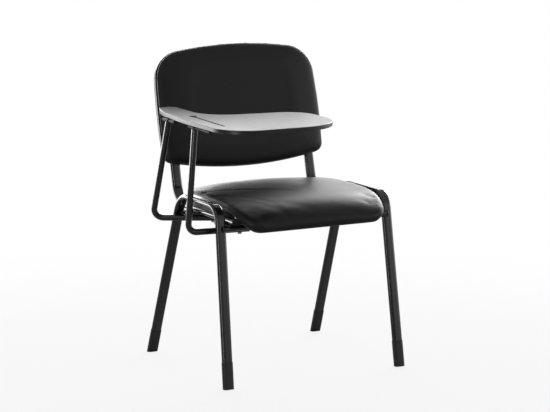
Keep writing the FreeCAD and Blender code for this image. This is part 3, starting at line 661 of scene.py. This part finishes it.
@dataclass
class Cushion:
    """Foam pad in a cover, swollen by cloth simulation from its plain solid."""

    node: str
    voxel: float = 0.005
    fill: float = 0.9
    quality: int = 6
    mass: float = 0.4
    stretch_stiffness: float = 18.0
    shear_stiffness: float = 8.0
    bending_stiffness: float = 2.5
    pressure: float = 2.0
    most: float = 0.0025
    smoothing: int = 12
    smoothing_share: float = 0.5
    frames: int = 20
    held_low: float = 0.008

    def build(self, finish: bpy.types.Material) -> bpy.types.Object:
        """Make the cushion.

        Args:
            finish: The cover's material.

        Returns:
            The finished object, which replaces its node.
        """
        self.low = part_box(self.node)[0]
        source = bpy.data.objects[self.node]
        piece = source.copy()
        piece.data = source.data.copy()
        piece.name = self.node.replace("cushion", "cover")
        piece.data.name = piece.name
        piece.parent = None
        piece.matrix_world = Matrix.Identity(4)
        for key in list(piece.keys()):
            del piece[key]
        bpy.context.scene.collection.objects.link(piece)
        self._remesh(piece)
        self._swell(piece)
        self._relax(piece)
        self._sculpt(piece)
        smooth_mesh(piece)
        dress(piece, finish, Body.FRAME)
        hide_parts(self.node)
        return piece

    def _apply(self, piece: bpy.types.Object) -> None:
        """Apply all modifiers.

        Args:
            piece: The object.
        """
        graph = bpy.context.evaluated_depsgraph_get()
        mesh = bpy.data.meshes.new_from_object(piece.evaluated_get(graph))
        piece.modifiers.clear()
        old = piece.data
        piece.data = mesh
        mesh.name = piece.name
        bpy.data.meshes.remove(old)

    def _remesh(self, piece: bpy.types.Object) -> None:
        """Even quads over the whole pad.

        Args:
            piece: The object.
        """
        remesh = piece.modifiers.new("even", "REMESH")
        remesh.mode = "VOXEL"
        remesh.voxel_size = self.voxel
        remesh.use_smooth_shade = True
        self._apply(piece)

    def _resting(self, point: Vector) -> float:
        """How firmly a place is held against the board behind the pad.

        Args:
            point: The place.

        Returns:
            Share from 0 to 1.
        """
        raise NotImplementedError

    def _swell(self, piece: bpy.types.Object) -> None:
        """Blow the cover up a little by cloth simulation and cap its movement.

        Args:
            piece: The object.
        """
        before = [vertex.co.copy() for vertex in piece.data.vertices]
        held = piece.vertex_groups.new(name="held")
        for index, place in enumerate(before):
            held.add([index], self._resting(place), "REPLACE")
        cloth = piece.modifiers.new("cover", "CLOTH")
        settings = cloth.settings
        settings.quality = self.quality
        settings.mass = self.mass
        settings.tension_stiffness = self.stretch_stiffness
        settings.compression_stiffness = self.stretch_stiffness
        settings.shear_stiffness = self.shear_stiffness
        settings.bending_stiffness = self.bending_stiffness
        settings.use_pressure = True
        settings.uniform_pressure_force = self.pressure
        settings.effector_weights.gravity = 0.0
        settings.vertex_group_mass = "held"
        cloth.point_cache.frame_start = 1
        cloth.point_cache.frame_end = self.frames
        for step in range(1, self.frames + 1):
            bpy.context.scene.frame_set(step)
        self._apply(piece)
        bpy.context.scene.frame_set(1)
        piece.vertex_groups.clear()
        for vertex, start in zip(piece.data.vertices, before):
            moved = vertex.co - start
            if moved.length > self.most:
                vertex.co = start + moved * (self.most / moved.length)
        even = piece.modifiers.new("even", "SMOOTH")
        even.factor = self.smoothing_share
        even.iterations = self.smoothing
        self._apply(piece)

    def _relax(self, piece: bpy.types.Object) -> None:
        """One subdivision, so that wrinkles and edges shade smoothly.

        Args:
            piece: The object.
        """
        finer = piece.modifiers.new("finer", "SUBSURF")
        finer.levels = 1
        finer.render_levels = 1
        self._apply(piece)

    def _sculpt(self, piece: bpy.types.Object) -> None:
        """Work the wrinkles and the slight unevenness of the foam into the mesh.

        Args:
            piece: The object.
        """
        raise NotImplementedError


@dataclass
class SeatCushion(Cushion):
    """Seat pad, which is held by its board underneath."""

    node: str = "seat_cushion"
    unevenness: float = 0.0009
    waves: tuple[float, float] = (9.0, 6.0)
    waves_level: float = 0.3
    least_up: float = 0.05
    up_gain: float = 1.6
    creases: tuple[Crease, ...] = ()

    def _resting(self, point: Vector) -> float:
        """Share to which a place is held, most at the underside."""
        rise = (point.z - self.low[2] - self.held_low) / self.held_low
        return min(1.0, max(0.0, 1.0 - rise))

    def _sculpt(self, piece: bpy.types.Object) -> None:
        """Wrinkles along the seat's top, where the cover is drawn to the front."""
        rises = [vertex.normal.z for vertex in piece.data.vertices]
        for vertex, up in zip(piece.data.vertices, rises):
            if up < self.least_up:
                continue
            point = vertex.co
            dip = sum(crease.dip(point.x, point.y) for crease in self.creases)
            spot = Vector((point.x * self.waves[0], point.y * self.waves[1], self.waves_level))
            wave = noise.noise(spot) * self.unevenness
            vertex.co.z -= (dip - wave) * min(1.0, up * self.up_gain)


@dataclass
class BackCushion(Cushion):
    """Back pad, which is held by its board behind."""

    node: str = "back_cushion"
    voxel: float = 0.0042
    most: float = 0.0015
    smoothing: int = 3
    unevenness: float = 0.0007
    waves: float = 8.0
    waves_level: float = 1.7
    resting: float = 0.35

    def _resting(self, point: Vector) -> float:
        """Share to which a place is held, the same all over, so that it stays curved."""
        return self.resting

    def _sculpt(self, piece: bpy.types.Object) -> None:
        """Slight unevenness of the foam."""
        facings = [max(0.0, -vertex.normal.y) for vertex in piece.data.vertices]
        for vertex, ahead in zip(piece.data.vertices, facings):
            point = vertex.co
            spot = Vector((point.x * self.waves, self.waves_level, point.z * self.waves))
            vertex.co.y -= noise.noise(spot) * self.unevenness * ahead


@dataclass
class WeldBeads:
    """Ripples of weld round the ends of the crossbars."""

    bead: float = 0.0022
    ripple: float = 0.18
    ripple_turn: float = 2.1
    inset: float = 0.004
    half_width: float = 0.0075
    half_height: float = 0.014
    rounds: int = 96
    sides: int = 10

    def ring(
        self, name: str, centre: Vector, facing: float, finish: bpy.types.Material,
    ) -> bpy.types.Object:
        """Bead round the end of a bar that runs across the chair.

        Args:
            name: Name of the piece.
            centre: Middle of the bar's end.
            facing: 1 where the bar ends to the left, -1 to the right.
            finish: The bead's material.

        Returns:
            The bead.
        """
        builder = bmesh.new()
        rings = []
        for k in range(self.rounds):
            angle = 2 * math.pi * k / self.rounds
            out = Vector((0.0, math.cos(angle), math.sin(angle)))
            middle = centre + Vector((0.0, self.half_height * out.y, self.half_width * out.z))
            swell = 1.0 + self.ripple * math.sin(k * self.ripple_turn)
            ring = []
            for j in range(self.sides):
                turn = 2 * math.pi * j / self.sides
                offset = out * math.cos(turn) - Vector((facing, 0.0, 0.0)) * math.sin(turn)
                ring.append(builder.verts.new(middle + offset * (self.bead * swell)))
            rings.append(ring)
        for k in range(self.rounds):
            here, ahead = rings[k], rings[(k + 1) % self.rounds]
            for j in range(self.sides):
                beside = (j + 1) % self.sides
                builder.faces.new((here[j], ahead[j], ahead[beside], here[beside]))
        bmesh.ops.recalc_face_normals(builder, faces=builder.faces)
        piece = new_piece(name, builder)
        smooth_mesh(piece)
        return dress(piece, finish, Body.FRAME)


@dataclass
class WellCup:
    """Moulded cup pressed into the round well at the groove's end."""

    centre: tuple[float, float] = (-0.24941, -0.02879)
    hole_radius: float = 0.00845
    lip_width: float = 0.0016
    lip_height: float = 0.0005
    wall: float = 0.0007
    depth: float = 0.0043
    sides: int = 64

    def _profile(self) -> list[tuple[float, float]]:
        """Radius and rise of the cup's outline, from its floor's middle to its underside's."""
        outer = self.hole_radius + self.lip_width
        inner = self.hole_radius - self.wall
        return [
            (0.0, self.wall - self.depth), (inner - self.wall, self.wall - self.depth),
            (inner, 2 * self.wall - self.depth), (inner, self.lip_height / 2),
            (inner + self.wall / 2, self.lip_height), (outer - self.wall, self.lip_height),
            (outer, self.lip_height / 3), (outer, 0.0), (self.hole_radius, 0.0),
            (self.hole_radius, -self.depth), (0.0, -self.depth),
        ]

    def build(self, top: float, finish: bpy.types.Material) -> bpy.types.Object:
        """Turn the cup's profile round its middle.

        Args:
            top: Height of the board's face.
            finish: The cup's material.

        Returns:
            The cup.
        """
        profile = self._profile()
        builder = bmesh.new()
        floor, under = (
            builder.verts.new((*self.centre, top + profile[end][1])) for end in (0, -1)
        )
        rings = []
        for k in range(self.sides):
            turn = 2 * math.pi * k / self.sides
            rings.append([
                builder.verts.new((
                    self.centre[0] + radius * math.cos(turn),
                    self.centre[1] + radius * math.sin(turn), top + rise,
                )) for radius, rise in profile[1:-1]
            ])
        for k in range(self.sides):
            here, ahead = rings[k], rings[(k + 1) % self.sides]
            builder.faces.new((floor, here[0], ahead[0]))
            for j in range(len(here) - 1):
                builder.faces.new((here[j], here[j + 1], ahead[j + 1], ahead[j]))
            builder.faces.new((here[-1], under, ahead[-1]))
        bmesh.ops.recalc_face_normals(builder, faces=builder.faces)
        piece = new_piece("well_cup", builder)
        smooth_mesh(piece)
        return dress(piece, finish, Body.TABLET)


# Studio


@dataclass(frozen=True)
class Lamp:
    """A soft rectangular lamp that looks at a point."""

    name: str
    place: tuple[float, float, float]
    target: tuple[float, float, float]
    size: tuple[float, float]
    power: float

    def build(self) -> None:
        """Make the lamp."""
        data = bpy.data.lights.new(self.name, "AREA")
        data.shape = "RECTANGLE"
        data.size, data.size_y = self.size
        data.energy = self.power
        lamp = bpy.data.objects.new(self.name, data)
        toward = Vector(self.target) - Vector(self.place)
        lamp.rotation_euler = toward.to_track_quat("-Z", "Y").to_euler()
        lamp.location = self.place
        bpy.context.scene.collection.objects.link(lamp)


@dataclass
class Studio:
    """Pale floor, soft lamps and the camera."""

    floor_half: float = 9.0
    azimuth: float = -28.4
    elevation: float = 10.2
    roll: float = 0.1
    lens: float = 144.0
    camera_place: tuple[float, float, float] = (-2.67705, -4.95289, 1.4367)
    floor_colour: Colour = (0.40, 0.40, 0.40)
    floor_glow: float = 0.85
    floor_white: float = 1.0
    floor_mirror: float = 0.95
    floor_dark: float = 0.45
    room_level: float = 0.08
    front_level: float = 0.32
    top_level: float = 0.04
    sweep_level: float = 2.4
    sweep_turn: float = 58.0
    sweep_start: float = -0.3
    sweep_end: float = 0.75
    sweep_low: float = 0.10
    sweep_high: float = 0.55
    top_start: float = 0.5
    front_start: float = -0.02
    front_end: float = 0.12
    glow_start: float = 0.7
    glow_end: float = 1.9
    mirror_start: float = 0.5
    mirror_end: float = 1.9
    lamps: tuple[Lamp, ...] = (
        Lamp("key", (-1.2, -1.0, 3.2), (0.0, 0.0, 0.5), (2.2, 2.2), 3.0),
        Lamp("rear", (0.9, 2.3, 2.3), (0.0, 0.0, 0.6), (2.4, 1.2), 30.0),
        Lamp("right_rear", (2.7, 1.8, 1.9), (0.1, 0.0, 0.5), (1.6, 1.4), 88.0),
        Lamp("rear_strip", (0.0, 3.1, 1.45), (-0.2, 0.0, 0.6), (3.0, 0.8), 44.0),
        Lamp("left_rear", (-1.6, 2.6, 0.45), (-0.1, 0.0, 0.5), (1.6, 0.9), 26.0),
        Lamp("left_strip", (-1.35, -0.85, 0.5), (-0.2, -0.1, 0.45), (0.13, 0.9), 3.0),
    )

    def _world(self) -> None:
        """World like a white sweep: white to the camera, brightest low behind the chair."""
        world = bpy.data.worlds.new("studio")
        world.use_nodes = True
        bpy.context.scene.world = world
        graph = Graph(world.node_tree)
        seen = graph.add("ShaderNodeLightPath", {}, {}, "Is Camera Ray")
        way = graph.add("ShaderNodeTexCoord", {}, {}, "Generated")
        apart = [graph.add("ShaderNodeSeparateXYZ", {}, {0: way}, axis) for axis in range(3)]
        turn = math.radians(self.sweep_turn)
        behind = math.sin(turn) * apart[0] + math.cos(turn) * apart[1]
        rear = graph.step(behind, self.sweep_start, self.sweep_end, 0.0, 1.0)
        low = graph.step(apart[2], self.sweep_low, self.sweep_high, 1.0, 0.0)
        room = (
            self.room_level
            + self.top_level * graph.step(apart[2], self.top_start, 1.0, 0.0, 1.0)
            + self.front_level * graph.step(apart[2], self.front_start, self.front_end, 0.0, 1.0)
        )
        strength = room + self.sweep_level * (rear * low)
        background = world.node_tree.nodes["Background"]
        graph.feed(seen + (1.0 - seen) * strength, background.inputs["Strength"])
        background.inputs["Color"].default_value = (1.0, 1.0, 1.0, 1.0)

    def _floor(self) -> None:
        """Pale floor that turns white far off, and that tubes mirror bright only behind."""
        builder = bmesh.new()
        bmesh.ops.create_grid(builder, x_segments=8, y_segments=8, size=self.floor_half)
        floor = new_piece("floor", builder)
        shader = Shader("pale_floor")
        speck = shader.noise(3.0, 2.0)
        shader.finish(self.floor_colour, 0.85 + 0.05 * speck)
        seen = shader.add("ShaderNodeLightPath", {}, {}, "Is Camera Ray")
        mirrored = shader.add("ShaderNodeLightPath", {}, {}, "Is Glossy Ray")
        away, back = (
            shader.add("ShaderNodeSeparateXYZ", {}, {0: shader.place}, axis) for axis in range(2)
        )
        turn = math.radians(self.azimuth)
        behind = math.cos(turn) * back - math.sin(turn) * away
        distance = shader.add(
            "ShaderNodeVectorMath", {"operation": "LENGTH"}, {0: shader.place}, "Value"
        )
        open_floor = shader.step(
            distance, self.glow_start, self.glow_end, self.floor_glow, 1.0
        )
        far_floor = shader.step(
            behind, self.mirror_start, self.mirror_end, 0.0, self.floor_mirror
        )
        glow = shader.add("ShaderNodeEmission", {}, {"Strength": self.floor_white})
        shade = Signal(shader.tree, shader.surface.outputs[0])
        black = shader.add("ShaderNodeEmission", {}, {"Strength": 0.0})
        dim = shader.add(
            "ShaderNodeMixShader", {}, {0: self.floor_dark * mirrored, 1: shade, 2: black}
        )
        share = open_floor * seen + far_floor * mirrored
        blend = shader.add("ShaderNodeMixShader", {}, {0: share, 1: dim, 2: glow})
        shader.feed(blend, shader.tree.nodes["Material Output"].inputs["Surface"])
        floor.data.materials.append(shader.material)

    def _camera(self) -> None:
        """Camera at the photographed angle."""
        data = bpy.data.cameras.new("camera")
        data.lens = self.lens
        data.sensor_width = 36.0
        data.clip_end = 60.0
        camera = bpy.data.objects.new("camera", data)
        turn, lift = math.radians(self.azimuth), math.radians(self.elevation)
        back = Vector((
            math.sin(turn) * math.cos(lift), -math.cos(turn) * math.cos(lift), math.sin(lift),
        ))
        facing = (-back).to_track_quat("-Z", "Y").to_matrix().to_4x4()
        tilt = Matrix.Rotation(math.radians(self.roll), 4, "Z")
        camera.matrix_world = Matrix.Translation(self.camera_place) @ facing @ tilt
        bpy.context.scene.collection.objects.link(camera)
        bpy.context.scene.camera = camera

    def build(self) -> None:
        """Make the whole studio."""
        self._world()
        self._floor()
        self._camera()
        for lamp in self.lamps:
            lamp.build()
        bpy.context.scene.view_settings.view_transform = "Standard"


@dataclass
class Chair:
    """The chair's pieces and finishes."""

    seat: SeatCushion = field(default_factory=lambda: SeatCushion(creases=(
        Crease((-0.214, 0.020), (-0.060, -0.160), 0.0013, 0.013, 0.012),
        Crease((-0.190, -0.060), (-0.030, -0.215), 0.0008, 0.014, 0.010),
        Crease((-0.170, 0.050), (0.010, -0.070), 0.0009, 0.013, 0.010),
        Crease((-0.110, -0.110), (0.050, -0.190), 0.0006, 0.015, 0.006),
    )))
    back: BackCushion = field(default_factory=BackCushion)
    welds: WeldBeads = field(default_factory=WeldBeads)
    cup: WellCup = field(default_factory=WellCup)

    def __post_init__(self) -> None:
        """Make the finishes: one for each slot, and those of single pieces."""
        self.finishes = {
            Slot.FRAME: GlossPaint().make(),
            Slot.MOULDING: Moulding().make(),
            Slot.COVER: FauxLeather().make(),
            Slot.PLYWOOD: Plywood().make(),
            Slot.TABLET: TabletLaminate(float(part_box("tablet_board")[1][2])).make(),
            Slot.EDGE: EdgeBanding().make(),
            Slot.RUBBER: Rubber().make(),
            Slot.ZINC: ZincSteel().make(),
            Slot.HINGE: GlossPaint("hinge_paint", roughness=0.46, specular=0.25, coat=0.0).make(),
        }
        self.own_finishes = {
            "back_shell": Moulding(
                "shell_moulding", (0.017, 0.017, 0.0175), (0.032, 0.032, 0.0325), 0.31, 0.00003,
            ).make(),
            "hinge_sleeve_front": self.finishes[Slot.HINGE],
            "hinge_sleeve_rear": self.finishes[Slot.HINGE],
            "tablet_rest": self.finishes[Slot.HINGE],
        }

    def dress_nodes(self, frame: dict) -> None:
        """Give every CAD node its finish.
        """
        for part in frame["record"]["subparts"]:
            piece = bpy.data.objects[part["node"]]
            finish = self.own_finishes.get(part["node"], self.finishes[Slot(part["material_slot"])])
            piece.data.materials.clear()
            piece.data.materials.append(finish)
            LOG.info("%s in %s", part["node"], finish.name)

    def build_welds(self) -> None:
        """Weld beads at the crossbars' ends."""
        finish = WeldMetal().make()
        for name in ("front", "rear"):
            low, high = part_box("crossbar_" + name)
            middle = (Vector(low) + Vector(high)) / 2
            for side, x in (("right", low[0]), ("left", high[0])):
                facing = 1.0 if side == "left" else -1.0
                centre = Vector((x - facing * self.welds.inset, middle.y, middle.z))
                self.welds.ring("weld_%s_%s" % (name, side), centre, facing, finish)

    def build(self, frame: dict) -> None:
        """Make every piece.
        """
        self.dress_nodes(frame)
        self.seat.build(self.finishes[Slot.COVER])
        self.back.build(self.finishes[Slot.COVER])
        self.build_welds()
        # The cup is near black: painted shade that darkens the pen well.
        cup_shade_finish = Moulding("cup_moulding", (0.004, 0.004, 0.004), (0.009, 0.009, 0.009), 0.75)
        self.cup.build(float(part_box("tablet_board")[1][2]), cup_shade_finish.make())


def main() -> None:
    """Build the studio and the chair."""
    logging.basicConfig(level=logging.INFO, format="%(name)s: %(message)s")
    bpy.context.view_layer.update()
    Studio().build()
    Chair().build(frame)


if __name__ == "__main__":
    main()
